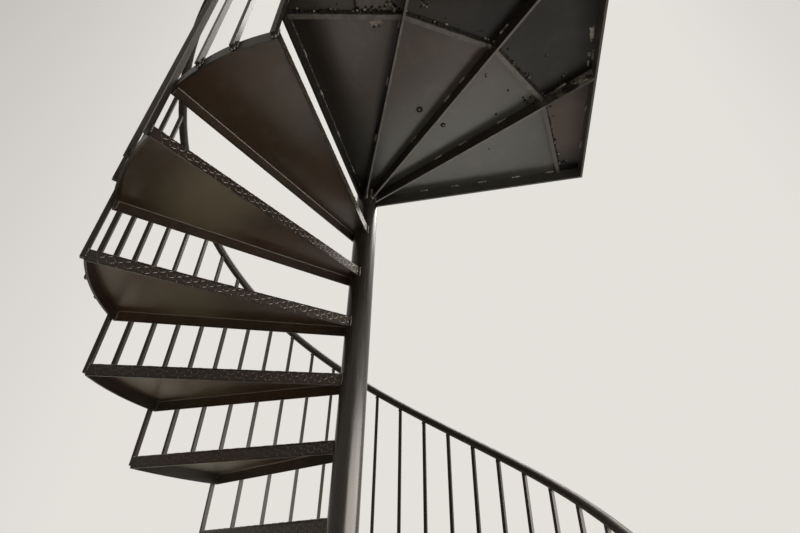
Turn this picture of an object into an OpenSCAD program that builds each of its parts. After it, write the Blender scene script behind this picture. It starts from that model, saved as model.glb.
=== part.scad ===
// Spiral stair of welded steel: folded pan treads round a tube column, a
// helical tube handrail on square bar balusters, and a square landing at the top.
// Millimetres, +Z up. The origin is on the column's axis, on the floor.
// The landing covers the +X, -Y corner, and the stair climbs anticlockwise to it.

/* [Stair] */
// Height of one step, from one tread's top to the next
step_rise = 188; // [170:1:210]
// Number of treads below the landing
tread_count = 13; // [9:1:14]
// Turn from one tread to the next, in degrees
step_turn = 24.3; // [22:0.1:26]
// Direction of the back corner of the top tread, in degrees from +X
top_tread_angle = 271.2; // [268:0.1:274]

/* [Column] */
// Outside diameter of the column tube
column_od = 82.5; // [70:0.5:100]
// Wall of the column tube
column_wall = 5; // [3:0.5:8]
// Side of the square base plate
base_side = 300; // [240:5:400]
// Thickness of the base plate
base_thickness = 12; // [8:1:20]
// Distance between the centres of neighbouring anchor holes
anchor_spacing = 230; // [180:5:300]
// Diameter of an anchor hole in the base plate
anchor_hole = 14; // [10:0.5:20]

/* [Treads] */
// Reach of a tread's pan from the column's axis
tread_reach = 762; // [650:1:900]
// Angle between a tread's two outer corners, in degrees
tread_angle = 26.1; // [24:0.1:30]
// Thickness of the pan's chequered plate
plate_thickness = 4.8; // [3:0.1:8]
// Depth of the pan's folded edges
lip_depth = 38; // [30:1:60]
// Inside radius of the folds
fold_radius = 3; // [2:0.5:6]
// Distance of the back edge's line from the column's axis
back_edge_offset = 21; // [10:1:30]
// Thickness of the rolled band round a tread's outer end
band_thickness = 6.4; // [4:0.1:10]

/* [Balusters] */
// Side of the square bar
bar_side = 12.7; // [10:0.1:20]
// Number of balusters for each tread
bars_per_tread = 3; // [2:1:4]
// Distance of the first baluster back from a tread's back corner, in degrees
bar_setback = 0.7; // [0.6:0.1:1.5]
// How far a baluster's foot stops above the band's lower edge
foot_rise = 10; // [4:1:20]

/* [Handrail] */
// Outside diameter of the handrail tube
rail_od = 32; // [28:1:45]
// Wall of the handrail tube
rail_wall = 2.5; // [1.5:0.5:4]
// Height of the handrail's axis above the tread at its back corner
rail_height = 964; // [850:1:1100]
// Length of handrail past its first and last baluster
rail_overrun = 45; // [25:1:90]

/* [End caps] */
// Length of a cap's spigot inside its tube
cap_spigot = 20; // [10:1:30]
// Clearance round the handrail caps' spigots
cap_clearance = 0.2; // [0.1:0.1:1]
// Height of the column cap's dome
column_dome = 16; // [8:1:30]
// Height of the handrail caps' domes
rail_dome = 8; // [4:0.5:14]

/* [Landing] */
// How far the landing's far sides lie past the balusters' centres
landing_overhang = 33; // [20:1:150]
// How far the landing's near sides lie inside the column's outer face
edge_seat = 20.5; // [14:0.5:26]
// Depth of the landing's edge bars and ribs with the plate
landing_depth = 51; // [40:1:80]
// Thickness of the flat bar of the edges and ribs
flat_thickness = 6.4; // [4:0.1:10]
// Angle between the landing's north edge and the rib that runs to the south side
south_rib_angle = 65.5; // [60:0.1:75]
// Angle between the landing's north edge and the rib that runs to the east side
east_rib_angle = 26; // [15:0.1:30]
// Distance at which the outer ribs pass the column's axis
rib_offset = 11; // [0:1:20]
// How far the plate seam's end on the west edge lies inside the far sides' distance
seam_west_setback = 78; // [50:1:150]
// The same for the seam's corner on the south rib
seam_south_setback = 87; // [50:1:150]
// The same for the seam's other corners
seam_setback = 70; // [50:1:150]
// Clearance between the landing's cut corner and the top baluster
corner_clearance = 0.5; // [0.5:0.5:20]
// Diameter of the fixing holes in the south edge bar
fixing_hole = 13; // [8:0.5:18]
// Number of fixing holes in the south edge bar
fixing_count = 4; // [2:1:4]
// Distance between neighbouring fixing holes
fixing_spacing = 200; // [120:5:220]
// Greatest distance between the guard's balusters
guard_spacing = 112; // [90:1:130]

/* [Hidden] */
$fn = 96;
tread_names = [for (k = [1 : tread_count]) str("tread_", k < 10 ? "0" : "", k)];
baluster_names = [for (k = [1 : tread_count]) str("balusters_", k < 10 ? "0" : "", k)];
paint = [0.20, 0.17, 0.15];
paint_light = [0.29, 0.26, 0.23];

column_r = column_od / 2;
nose_edge_offset = column_r + plate_thickness;
landing_top = step_rise * (tread_count + 1);
landing_underside = landing_top - plate_thickness;
edge_bottom = landing_top - landing_depth;
edge_depth = landing_underside - edge_bottom;
band_r = tread_reach + band_thickness;
bar_r = band_r + bar_side / 2;
rail_r = rail_od / 2;
bar_turn = step_turn / bars_per_tread;
bar_count = tread_count * bars_per_tread;
first_bar_angle = top_tread_angle - bar_setback;
rail_slope = atan(step_rise / (bar_r * step_turn * PI / 180));
overrun_bars = rail_overrun * cos(rail_slope) / (bar_r * bar_turn * PI / 180);
rail_sides = 20;
rings_per_bar = 2;
column_top = landing_top + rail_height + rail_od;
landing_reach = bar_r + landing_overhang;
landing_margin = column_r - edge_seat;
seam_west_reach = landing_reach - seam_west_setback;
seam_south_reach = landing_reach - seam_south_setback;
seam_reach = landing_reach - seam_setback;
// How far a cutter runs past the faces that it opens
cut_past = 1;

// Treads are counted down from the landing: tread 1 is one rise below it.
function tread_top(k) = step_rise * (tread_count + 1 - k);
function tread_turn(k) = top_tread_angle - (k - 1) * step_turn;

// Balusters are counted down from the top tread's back corner, from 0.
function bar_angle(i) = first_bar_angle - i * bar_turn;
function rail_z(i) = landing_top - step_rise * (i / bars_per_tread + 1) + rail_height;

// One fold's cross-section region: x runs inward from the outer face, y up.
// It keeps everything inside the face and under the top, with a round corner.
module fold_region(face, top, radius) {
    far = 2 * tread_reach;
    difference() {
        translate([face, -far]) square([2 * far, far + top]);
        difference() {
            translate([face - cut_past, top - radius]) square(radius + cut_past);
            translate([face + radius, top - radius]) circle(radius);
        }
    }
}

// Turns of the back and the nose edge that bring their outer ends to the tread's corners.
back_swing = asin(back_edge_offset / tread_reach);
nose_swing = asin(nose_edge_offset / tread_reach);

// The region between a back edge and a nose edge, measured in from the outer faces.
// side_in is the distance in from those faces, top the height, radius the folds'.
module wedge_region(side_in, top, radius) {
    long = 4 * tread_reach;
    intersection() {
        rotate(-back_swing)
            translate([-long / 2, back_edge_offset, 0])
            rotate([90, 0, 90])
            mirror([1, 0, 0])
            linear_extrude(long)
            fold_region(side_in, top, radius);
        rotate(nose_swing - tread_angle)
            translate([-long / 2, -nose_edge_offset, 0])
            rotate([90, 0, 90])
            linear_extrude(long)
            fold_region(side_in, top, radius);
    }
}

// A tread about its own back corner at angle 0, its top at z = 0. Its back and nose
// edge are folded down, and the rolled band closes the outer end, as deep as the folds.
module tread_shape() {
    difference() {
        intersection() {
            wedge_region(0, 0, fold_radius + plate_thickness);
            translate([0, 0, -lip_depth]) cylinder(r = band_r, h = lip_depth + cut_past);
            rotate(-tread_angle / 2)
                translate([0, -band_r, -lip_depth])
                cube([2 * band_r, 2 * band_r, lip_depth + cut_past]);
        }
        intersection() {
            wedge_region(plate_thickness, -plate_thickness, fold_radius);
            translate([0, 0, -2 * lip_depth]) cylinder(r = tread_reach, h = 2 * lip_depth);
        }
        translate([0, 0, -2 * lip_depth]) cylinder(r = column_r, h = 3 * lip_depth);
    }
}

module tread(k) {
    color(paint)
        translate([0, 0, tread_top(k)])
        rotate(tread_turn(k))
        tread_shape();
}

// A straight cylinder along the handrail where baluster i meets it.
module rail_at_bar(i, slope, length) {
    translate([bar_r, 0, rail_z(i)])
        rotate([slope - 90, 0, 0])
        cylinder(r = rail_r, h = length, center = true);
}

// Baluster i, from the height foot up to the handrail's underside.
module baluster(i, foot) {
    rotate(bar_angle(i))
        difference() {
            translate([band_r, -bar_side / 2, foot])
                cube([bar_side, bar_side, rail_z(i) - foot]);
            rail_at_bar(i, rail_slope, 4 * rail_od);
        }
}

module balusters(k) {
    first = (k - 1) * bars_per_tread;
    color(paint_light)
        for (i = [first : first + bars_per_tread - 1])
            baluster(i, tread_top(k) - lip_depth + foot_rise);
}

module bottom_newel() {
    color(paint_light) baluster(bar_count, 0);
}

// One ring of the handrail's tube, at baluster position i and radius r.
function rail_ring(i, r) =
    let (
        a = bar_angle(i),
        out = [cos(a), sin(a), 0],
        down = [sin(a) * sin(rail_slope), -cos(a) * sin(rail_slope), cos(rail_slope)]
    )
    [
        for (j = [0 : rail_sides - 1])
            let (turn = 360 * j / rail_sides)
            bar_r * out + [0, 0, rail_z(i)]
                + r * cos(turn) * out
                + r * sin(turn) * down
    ];

module handrail() {
    ring_count = bar_count * rings_per_bar;
    stations = concat(
        [-overrun_bars],
        [for (s = [0 : ring_count]) s / rings_per_bar],
        [bar_count + overrun_bars]
    );
    n = len(stations);
    m = rail_sides;
    outer = [for (i = stations) each rail_ring(i, rail_r)];
    inner = [for (i = stations) each rail_ring(i, rail_r - rail_wall)];
    inner_from = n * m;
    function at(ring, side) = ring * m + side % m;
    wall_faces = [
        for (s = [0 : n - 2], j = [0 : m - 1]) each [
            [at(s, j), at(s + 1, j), at(s, j + 1)],
            [at(s, j + 1), at(s + 1, j), at(s + 1, j + 1)]
        ]
    ];
    bore_faces = [
        for (f = wall_faces) [f[2] + inner_from, f[1] + inner_from, f[0] + inner_from]
    ];
    first_end = [
        for (j = [0 : m - 1])
            [at(0, j), at(0, j + 1), at(0, j + 1) + inner_from, at(0, j) + inner_from]
    ];
    last_end = [
        for (j = [0 : m - 1])
            [
                at(n - 1, j + 1), at(n - 1, j),
                at(n - 1, j) + inner_from, at(n - 1, j + 1) + inner_from
            ]
    ];
    color(paint)
        polyhedron(concat(outer, inner), concat(wall_faces, bore_faces, first_end, last_end));
}

// A domed plug with a spigot: it closes a tube that ends at z = 0 and runs below.
module plug(tube_r, bore_r, dome) {
    ball_r = (tube_r ^ 2 + dome ^ 2) / (2 * dome);
    translate([0, 0, -cap_spigot]) cylinder(r = bore_r, h = cap_spigot);
    intersection() {
        translate([0, 0, dome - ball_r]) sphere(r = ball_r);
        cylinder(r = tube_r, h = dome);
    }
}

module handrail_caps() {
    spigot_r = (rail_r - rail_wall) * cos(180 / rail_sides) - cap_clearance;
    color(paint) {
        rotate(bar_angle(-overrun_bars))
            translate([bar_r, 0, rail_z(-overrun_bars)])
            rotate([rail_slope - 90, 0, 0])
            plug(rail_r, spigot_r, rail_dome);
        rotate(bar_angle(bar_count + overrun_bars))
            translate([bar_r, 0, rail_z(bar_count + overrun_bars)])
            rotate([rail_slope + 90, 0, 0])
            plug(rail_r, spigot_r, rail_dome);
    }
}

module base_plate() {
    color(paint)
        difference() {
            translate([-base_side / 2, -base_side / 2, 0])
                cube([base_side, base_side, base_thickness]);
            for (x = [-1, 1], y = [-1, 1])
                translate([x * anchor_spacing / 2, y * anchor_spacing / 2, -cut_past])
                    cylinder(d = anchor_hole, h = base_thickness + 2 * cut_past);
        }
}

module column() {
    color(paint)
        translate([0, 0, base_thickness])
        difference() {
            cylinder(r = column_r, h = column_top - base_thickness);
            translate([0, 0, -cut_past])
                cylinder(r = column_r - column_wall, h = column_top + cut_past);
        }
}

module column_cap() {
    color(paint)
        translate([0, 0, column_top])
        plug(column_r, column_r - column_wall, column_dome);
}

// The cut corner lies along x + y = corner_line and clears the top baluster's corner.
top_bar = [bar_r * cos(bar_angle(0)), bar_r * sin(bar_angle(0))];
corner_line = top_bar[0] + top_bar[1] + bar_side + corner_clearance * sqrt(2);
corner_cut = corner_line + landing_margin + landing_reach;

// The landing's outline: it starts and ends inside the column, with the cut corner
// between its first two sides.
landing_outline = [
    [-landing_margin, 0],
    [-landing_margin, corner_cut - landing_reach],
    [corner_cut - landing_margin, -landing_reach],
    [landing_reach, -landing_reach],
    [landing_reach, landing_margin],
    [0, landing_margin]
];

// The inside of the landing's edge bars, corner for corner.
corner_inset = flat_thickness * (sqrt(2) - 1);
inner_outline = [
    [flat_thickness - landing_margin, 0],
    [flat_thickness - landing_margin, corner_cut - landing_reach + corner_inset],
    [corner_cut - landing_margin + corner_inset, flat_thickness - landing_reach],
    [landing_reach - flat_thickness, flat_thickness - landing_reach],
    [landing_reach - flat_thickness, landing_margin - flat_thickness],
    [0, landing_margin - flat_thickness]
];

// Each rib's line, from beside the axis to a point past the far sides.
function rib_line(start, angle) =
    [start, start + 2 * landing_reach * [cos(angle), -sin(angle)]];
south_rib = rib_line([-rib_offset, 0], south_rib_angle);
middle_rib = rib_line([0, 0], 45);
east_rib = rib_line([0, rib_offset], east_rib_angle);

// The point of a line that lies at the given distance from the axis.
function point_at(line, distance) =
    let (
        d = (line[1] - line[0]) / norm(line[1] - line[0]),
        along = -(line[0] * d),
        foot = line[0] + along * d
    )
    foot + sqrt(distance ^ 2 - foot * foot) * d;

seam = [
    [-landing_margin, -sqrt(seam_west_reach ^ 2 - landing_margin ^ 2)],
    point_at(south_rib, seam_south_reach),
    point_at(middle_rib, seam_reach),
    point_at(east_rib, seam_reach),
    [sqrt(seam_reach ^ 2 - landing_margin ^ 2), landing_margin]
];

module inside_seam() {
    polygon(concat(seam, [[landing_margin, 2 * landing_margin], [-2 * landing_margin, -landing_margin]]));
}

module landing_plate() {
    color(paint)
        translate([0, 0, landing_underside])
        difference() {
            linear_extrude(plate_thickness)
                intersection() {
                    polygon(landing_outline);
                    inside_seam();
                }
            translate([0, 0, -cut_past])
                cylinder(r = column_r, h = plate_thickness + 2 * cut_past);
        }
}

module landing_apron() {
    color(paint)
        translate([0, 0, landing_underside])
        linear_extrude(plate_thickness)
        difference() {
            polygon(landing_outline);
            inside_seam();
        }
}

// A flat bar on edge under the plate, centred on the line from a to b.
module flat_bar(a, b) {
    translate([a[0], a[1], edge_bottom])
        rotate(atan2(b[1] - a[1], b[0] - a[0]))
        translate([0, -flat_thickness / 2, 0])
        cube([norm(b - a), flat_thickness, edge_depth]);
}

module clear_column() {
    difference() {
        children();
        translate([0, 0, edge_bottom - cut_past])
            cylinder(r = column_r, h = landing_depth + 2 * cut_past);
    }
}

module inside_edges() {
    intersection() {
        children();
        translate([0, 0, edge_bottom]) linear_extrude(landing_depth) polygon(inner_outline);
    }
}

// A rib runs from the column to the edge bars of the far sides.
module rib(line) {
    color(paint) clear_column() inside_edges() flat_bar(line[0], line[1]);
}

module landing_rib_south() { rib(south_rib); }
module landing_rib_middle() { rib(middle_rib); }
module landing_rib_east() { rib(east_rib); }

// The edge bar along side i of the outline, mitred to its neighbours.
module edge_side(i) {
    translate([0, 0, edge_bottom])
        linear_extrude(edge_depth)
        polygon([
            landing_outline[i], landing_outline[i + 1],
            inner_outline[i + 1], inner_outline[i]
        ]);
}

module landing_edge_west() { color(paint) clear_column() edge_side(0); }
module landing_edge_corner() { color(paint) edge_side(1); }
module landing_edge_east() { color(paint) edge_side(3); }
module landing_edge_north() { color(paint) clear_column() edge_side(4); }

fixing_z = (edge_bottom + landing_underside) / 2;
fixing_middle = (landing_outline[2][0] + landing_outline[3][0]) / 2;
function fixing_x(j) = fixing_middle + (j - (fixing_count - 1) / 2) * fixing_spacing;

module landing_edge_south() {
    color(paint)
        difference() {
            edge_side(2);
            for (j = [0 : fixing_count - 1])
                translate([fixing_x(j), -landing_reach - cut_past, fixing_z])
                    rotate([-90, 0, 0])
                    cylinder(d = fixing_hole, h = flat_thickness + 2 * cut_past);
        }
}

// Square bars under the plate, just inside the seam, fitted between ribs and edges.
module landing_cross_bars() {
    color(paint)
        difference() {
            inside_edges()
                for (j = [0 : len(seam) - 2])
                    cross_bar(seam[j], seam[j + 1]);
            for (line = [south_rib, middle_rib, east_rib])
                translate([0, 0, cut_past]) flat_bar(line[0], line[1]);
        }
}

module cross_bar(a, b) {
    heading = atan2(b[1] - a[1], b[0] - a[0]);
    translate([a[0], a[1], landing_underside - bar_side])
        rotate(heading)
        cube([norm(b - a), bar_side, bar_side]);
}

// The guard stands on the landing's north edge, between the column and the east side.
guard_y = landing_margin / 2;
guard_end = landing_reach - rail_dome;
guard_last = guard_end - rail_od;
guard_bars = ceil((guard_last - column_r) / guard_spacing);
guard_step = (guard_last - column_r) / guard_bars;
guard_rail_z = landing_top + rail_height;

module guard_balusters() {
    color(paint_light)
        difference() {
            for (j = [1 : guard_bars])
                translate([
                    column_r + j * guard_step - bar_side / 2,
                    guard_y - bar_side / 2,
                    landing_top
                ])
                    cube([bar_side, bar_side, rail_height]);
            guard_tube(rail_r);
        }
}

module guard_tube(r) {
    translate([0, guard_y, guard_rail_z])
        rotate([0, 90, 0])
        cylinder(r = r, h = guard_end);
}

module guard_rail() {
    color(paint)
        difference() {
            guard_tube(rail_r);
            translate([cut_past, 0, 0]) guard_tube(rail_r - rail_wall);
            translate([0, 0, guard_rail_z - rail_od]) cylinder(r = column_r, h = 2 * rail_od);
        }
}

module guard_rail_cap() {
    color(paint)
        translate([guard_end, guard_y, guard_rail_z])
        rotate([0, 90, 0])
        plug(rail_r, rail_r - rail_wall - cap_clearance, rail_dome);
}

for (k = [1 : tread_count]) {
    tread(k);
    balusters(k);
}
base_plate();
column();
column_cap();
bottom_newel();
handrail();
handrail_caps();
landing_plate();
landing_apron();
landing_cross_bars();
landing_rib_south();
landing_rib_middle();
landing_rib_east();
landing_edge_west();
landing_edge_corner();
landing_edge_south();
landing_edge_east();
landing_edge_north();
guard_balusters();
guard_rail();
guard_rail_cap();
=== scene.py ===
from math import asin, atan, atan2, cos, hypot, pi, radians, sin, sqrt
from random import Random

import bmesh
import bpy
from mathutils import Matrix, Vector


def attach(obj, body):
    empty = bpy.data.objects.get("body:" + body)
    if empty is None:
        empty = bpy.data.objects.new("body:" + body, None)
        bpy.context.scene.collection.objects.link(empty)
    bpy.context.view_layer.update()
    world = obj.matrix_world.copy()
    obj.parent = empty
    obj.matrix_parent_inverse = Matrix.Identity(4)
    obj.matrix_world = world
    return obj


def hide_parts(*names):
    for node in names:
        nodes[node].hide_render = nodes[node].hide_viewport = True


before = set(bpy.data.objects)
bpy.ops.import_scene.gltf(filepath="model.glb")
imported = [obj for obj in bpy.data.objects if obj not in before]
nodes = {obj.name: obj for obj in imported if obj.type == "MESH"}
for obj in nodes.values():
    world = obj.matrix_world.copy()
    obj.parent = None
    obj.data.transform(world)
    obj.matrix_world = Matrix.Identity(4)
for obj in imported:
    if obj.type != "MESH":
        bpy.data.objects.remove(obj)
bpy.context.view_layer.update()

# The camera stands beside the foot of the stair, at chest height, and looks up through
# the treads to the underside of the landing.
view = bpy.data.cameras.new("view_from_below")
view.lens = 19.97
view.sensor_width = 36
view.clip_start = 0.02
camera = bpy.data.objects.new("view_from_below", view)
bpy.context.collection.objects.link(camera)
lens_place = (0.4274, -1.2342, 1.384)
westward, lift, roll = radians(13.22), radians(34.81), radians(0.947)
camera.matrix_world = (
    Matrix.Translation(lens_place)
    @ Matrix.Rotation(westward, 4, "Z")
    @ Matrix.Rotation(radians(90) + lift, 4, "X")
    @ Matrix.Rotation(roll, 4, "Z")
)
bpy.context.scene.camera = camera

# The column is a drawn steel tube, 82.5 mm across, welded to a square plate on the floor
# and closed by a domed cap. It is brushed with dark bronze enamel and is the glossiest piece.
column_r = 0.04125
base_top = 0.012


def colour(code):
    """An sRGB hex code as the linear colour that Blender mixes."""
    parts = [int(code[i:i + 2], 16) / 255 for i in (1, 3, 5)]
    return [p / 12.92 if p <= 0.04045 else ((p + 0.055) / 1.055) ** 2.4 for p in parts] + [1]


def fill(node, values):
    """Sets a node's inputs by name or number, each to a number, a socket or a node's first output."""
    for key, value in values.items():
        if isinstance(value, bpy.types.Node):
            value = next(socket for socket in value.outputs if socket.enabled)
        if isinstance(value, bpy.types.NodeSocket):
            node.id_data.links.new(value, node.inputs[key])
        else:
            node.inputs[key].default_value = value


def add(tree, kind, values={}, **settings):
    """Adds one node of a kind, with its settings, and fills its inputs."""
    node = tree.nodes.new("ShaderNode" + kind)
    for name, value in settings.items():
        setattr(node, name, value)
    fill(node, values)
    return node


def new_finish(name):
    """A fresh material, its node tree, its shader and a place in metres on the stair."""
    material = bpy.data.materials.new(name)
    material.use_nodes = True
    tree = material.node_tree
    return material, tree, tree.nodes["Principled BSDF"], add(tree, "TexCoord").outputs["Object"]


def paint(material, *names):
    """Gives the named CAD nodes their finish."""
    for name in names:
        slots = nodes[name].data.materials
        slots.clear()
        slots.append(material)


def piece(name, mesh_in, material, smooth=True):
    """Makes an object from a bmesh and lets it ride on the stair."""
    mesh = bpy.data.meshes.new(name)
    mesh_in.to_mesh(mesh)
    mesh_in.free()
    mesh.materials.append(material)
    for face in mesh.polygons:
        face.use_smooth = smooth
    thing = bpy.data.objects.new(name, mesh)
    bpy.context.collection.objects.link(thing)
    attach(thing, "root")
    return thing


# One seed, so that every run lays the same beads.
hand = Random(7)


def weld(mesh, start, end, size=0.0035, pitch=0.0042, uneven=0.2):
    """A weld bead from start to end: one small lump of metal, of radius size, after another."""
    start, end = Vector(start), Vector(end)
    count = max(1, round((end - start).length / pitch))
    for step in range(count):
        place = start.lerp(end, (step + 0.5) / count)
        radius = size * (1 + hand.uniform(-uneven, uneven))
        bmesh.ops.create_icosphere(mesh, subdivisions=1, radius=radius, matrix=Matrix.Translation(place))


# Alkyd enamel brushed along a steel tube: satin, with faint long brush marks that draw its
# highlight out, and a few specks of dust caught in the coat.
tube_enamel, tree, shader, place = new_finish("brushed_alkyd_enamel_on_steel_tube")
along = add(tree, "Mapping", {"Vector": place, "Scale": (1, 1, 0.03)})
# Brush marks are about 2 mm wide and 70 mm long; they are drawn 5 mm wide to show.
brush = add(tree, "TexNoise", {"Vector": along, "Scale": 200.0, "Detail": 3.0, "Roughness": 0.6})
cloud = add(tree, "TexNoise", {"Vector": place, "Scale": 3.0, "Detail": 2.0, "Roughness": 0.5})
specks = add(tree, "TexNoise", {"Vector": place, "Scale": 160.0, "Detail": 3.0, "Roughness": 0.7})
tone = add(tree, "MapRange", {"Value": cloud, "From Min": 0.35, "From Max": 0.65})
coat = add(tree, "Mix", {"Factor": tone, "A": colour("#322C26"), "B": colour("#40382F")}, data_type="RGBA")
dotted = add(tree, "MapRange", {"Value": specks, "From Min": 0.66, "From Max": 0.74, "To Max": 0.6})
dusted = add(tree, "Mix", {"Factor": dotted, "A": coat, "B": colour("#6F655A")}, data_type="RGBA")
gloss = add(
    tree, "MapRange", {"Value": brush, "From Min": 0.3, "From Max": 0.7, "To Min": 0.22, "To Max": 0.32},
)
marks = add(tree, "Bump", {"Height": brush, "Strength": 0.25, "Distance": 0.0003})
fill(shader, {"Base Color": dusted, "Roughness": gloss, "Normal": marks, "IOR": 1.52})
paint(tube_enamel, "column", "column_cap", "base_plate")

# Metal laid by a wire welder and painted over: lumpy, with a trace of rust where the
# enamel has not covered it.
bead_enamel, tree, shader, place = new_finish("painted_weld_bead")
lumps = add(tree, "TexNoise", {"Vector": place, "Scale": 90.0, "Detail": 3.0})
rusty = add(tree, "MapRange", {"Value": lumps, "From Min": 0.56, "From Max": 0.7, "To Max": 0.55})
bead_tone = add(
    tree, "Mix", {"Factor": rusty, "A": colour("#3A332D"), "B": colour("#5E4A3C")}, data_type="RGBA",
)
fill(shader, {"Base Color": bead_tone, "Roughness": 0.42})

base_weld = bmesh.new()
lengths = 24
bead_r = column_r + 0.002
for step in range(lengths):
    turns = [2 * pi * (step + part) / lengths for part in (0, 1)]
    weld(base_weld, *[(bead_r * cos(a), bead_r * sin(a), base_top + 0.002) for a in turns], size=0.0045)
piece("column_base_weld", base_weld, bead_enamel)

# Each tread is chequered plate, 4.8 mm thick, with its nose and back edge folded down, and
# a flat band rolled round its outer end. The raised lugs run on over the folds, and the
# tread is welded to the column from below.
step_rise = 0.188
tread_count = 13
step_turn = radians(24.3)
top_tread_angle = radians(271.2)
tread_reach = 0.762
band_r = tread_reach + 0.0064
tread_angle = radians(26.1)
plate = 0.0048
lip_depth = 0.038
fold_r = 0.0078
back_offset = 0.021
nose_offset = column_r + plate
lug_pitch = 0.0135
lug_size = (0.0074, 0.0022)
lug_height = 0.0006
landing_top = step_rise * (tread_count + 1)


def looking_up(tree):
    """How far a face looks up: 1 straight up, 0 sideways, -1 straight down."""
    return add(tree, "SeparateXYZ", {0: add(tree, "NewGeometry").outputs["Normal"]}).outputs["Z"]


def from_axis(tree, place):
    """The level distance from the column's axis, in metres."""
    level_place = add(tree, "VectorMath", {0: place, 1: (1, 1, 0)}, operation="MULTIPLY")
    return add(tree, "VectorMath", {0: level_place}, operation="LENGTH")


def dust_over(tree, place, facing, coat):
    """Dust that has settled unevenly on what faces up: its share, and the colour with it."""
    upward = add(tree, "MapRange", {"Value": facing, "From Min": 0.6, "From Max": 0.95})
    grit = add(tree, "TexNoise", {"Vector": place, "Scale": 45.0, "Detail": 4.0, "Roughness": 0.7})
    settled = add(
        tree, "MapRange",
        {"Value": grit, "From Min": 0.35, "From Max": 0.7, "To Min": 0.08, "To Max": 0.42},
    )
    dusty = add(tree, "Math", {0: upward, 1: settled}, operation="MULTIPLY")
    return dusty, add(tree, "Mix", {"Factor": dusty, "A": coat, "B": colour("#756B5B")}, data_type="RGBA")


def orange_peel(tree, place):
    """The skin of sprayed enamel. Its dimples are about 2 mm across and are drawn 5 mm to show."""
    peel = add(tree, "TexNoise", {"Vector": place, "Scale": 200.0, "Detail": 2.0})
    return add(tree, "Bump", {"Height": peel, "Strength": 0.2, "Distance": 0.0004})


# Alkyd enamel sprayed on chequered steel plate: an even satin coat that drifts from olive
# to red brown. Dust and shoes have dulled and lightened it where it faces up.
plate_enamel, tree, shader, place = new_finish("sprayed_alkyd_enamel_on_chequered_plate")
drift = add(tree, "TexNoise", {"Vector": place, "Scale": 2.6, "Detail": 1.0})
warm = add(tree, "MapRange", {"Value": drift, "From Min": 0.38, "From Max": 0.62})
coat = add(tree, "Mix", {"Factor": warm, "A": colour("#3D3728"), "B": colour("#463426")}, data_type="RGBA")
# Overspray and handling leave soft marks about 60 mm across.
smudge = add(tree, "TexNoise", {"Vector": place, "Scale": 16.0, "Detail": 4.0, "Roughness": 0.6})
smudged = add(tree, "MapRange", {"Value": smudge, "From Min": 0.5, "From Max": 0.75, "To Max": 0.35})
handled = add(tree, "Mix", {"Factor": smudged, "A": coat, "B": colour("#5A5045")}, data_type="RGBA")
facing = looking_up(tree)
# A painted glow stands for the reflection of the lit treads below: a soft lighter patch a little
# over half way out, most on the high treads, but not on the top one, which the landing shades.
spot = add(tree, "SeparateXYZ", {0: place})
out = from_axis(tree, place)
past_column = add(
    tree, "MapRange", {"Value": out, "From Min": 0.36, "From Max": 0.52}, interpolation_type="SMOOTHSTEP",
)
before_band = add(
    tree, "MapRange", {"Value": out, "From Min": 0.57, "From Max": 0.72, "To Min": 1.0, "To Max": 0.0},
    interpolation_type="SMOOTHSTEP",
)
patch = add(tree, "Math", {0: past_column, 1: before_band}, operation="MULTIPLY")
beneath = add(tree, "Math", {0: facing, 1: -0.95}, operation="LESS_THAN")
high = add(
    tree, "MapRange",
    {"Value": spot.outputs["Z"], "From Min": 2.0, "From Max": 2.2, "To Min": 0.35, "To Max": 0.75},
)
lit = add(tree, "Math", {0: spot.outputs["Z"], 1: 2.35}, operation="LESS_THAN")
open_to_light = add(tree, "Math", {0: beneath, 1: lit}, operation="MULTIPLY")
strength = add(tree, "Math", {0: high, 1: open_to_light}, operation="MULTIPLY")
painted_glow_share = add(tree, "Math", {0: patch, 1: strength}, operation="MULTIPLY")
with_painted_glow = add(tree, "Mix", {"Factor": painted_glow_share, "A": handled, "B": colour("#7A705C")}, data_type="RGBA")
# The band round the outer end is hot rolled bar, painted darker than the plate as painted shade.
on_band = add(tree, "Math", {0: out, 1: tread_reach - 0.0015}, operation="GREATER_THAN")
band_shade_share = add(tree, "Math", {0: on_band, 1: 0.55}, operation="MULTIPLY")
banded = add(tree, "Mix", {"Factor": band_shade_share, "A": with_painted_glow, "B": colour("#1D1914")}, data_type="RGBA")
# A painted highlight lightens the inside of each bend, where the face turns from underside to flange.
bend_facing = add(tree, "Math", {0: facing, 1: -0.62, 2: 0.3}, operation="COMPARE")
from_below = add(tree, "Math", {0: spot.outputs["Z"], 1: 0.02}, operation="ADD")
in_tread = add(tree, "Math", {0: from_below, 1: step_rise}, operation="FLOORED_MODULO")
in_bend = add(tree, "Math", {0: in_tread, 1: 0.0137, 2: 0.0035}, operation="COMPARE")
bend_highlight_strength = add(tree, "MapRange", {"Value": in_bend, "To Min": 0.12, "To Max": 0.6})
rub_and_highlight = add(tree, "Math", {0: bend_facing, 1: bend_highlight_strength}, operation="MULTIPLY")
with_edge_highlight = add(tree, "Mix", {"Factor": rub_and_highlight, "A": banded, "B": colour("#85796F")}, data_type="RGBA")
# The cut lower edges of the flanges and band are painted dark in broken lengths: painted shade.
at_edge = add(tree, "Math", {0: in_tread, 1: step_rise + 0.02 - lip_depth, 2: 0.004}, operation="COMPARE")
broken = add(
    tree, "MapRange",
    {"Value": smudge, "From Min": 0.42, "From Max": 0.58, "To Min": 0.85, "To Max": 0.25},
)
cut_edge_shade = add(tree, "Math", {0: at_edge, 1: broken}, operation="MULTIPLY")
with_cut_edge_shade = add(tree, "Mix", {"Factor": cut_edge_shade, "A": with_edge_highlight, "B": colour("#14110E")}, data_type="RGBA")
dusty, finish = dust_over(tree, place, facing, with_cut_edge_shade)
dull = add(tree, "Math", {0: dusty, 1: 0.42, 2: 0.36}, operation="MULTIPLY_ADD")
fill(
    shader,
    {"Base Color": finish, "Roughness": dull, "Normal": orange_peel(tree, place), "Specular IOR Level": 0.34},
)
paint(plate_enamel, *[f"tread_{k:02d}" for k in range(1, tread_count + 1)])

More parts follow.
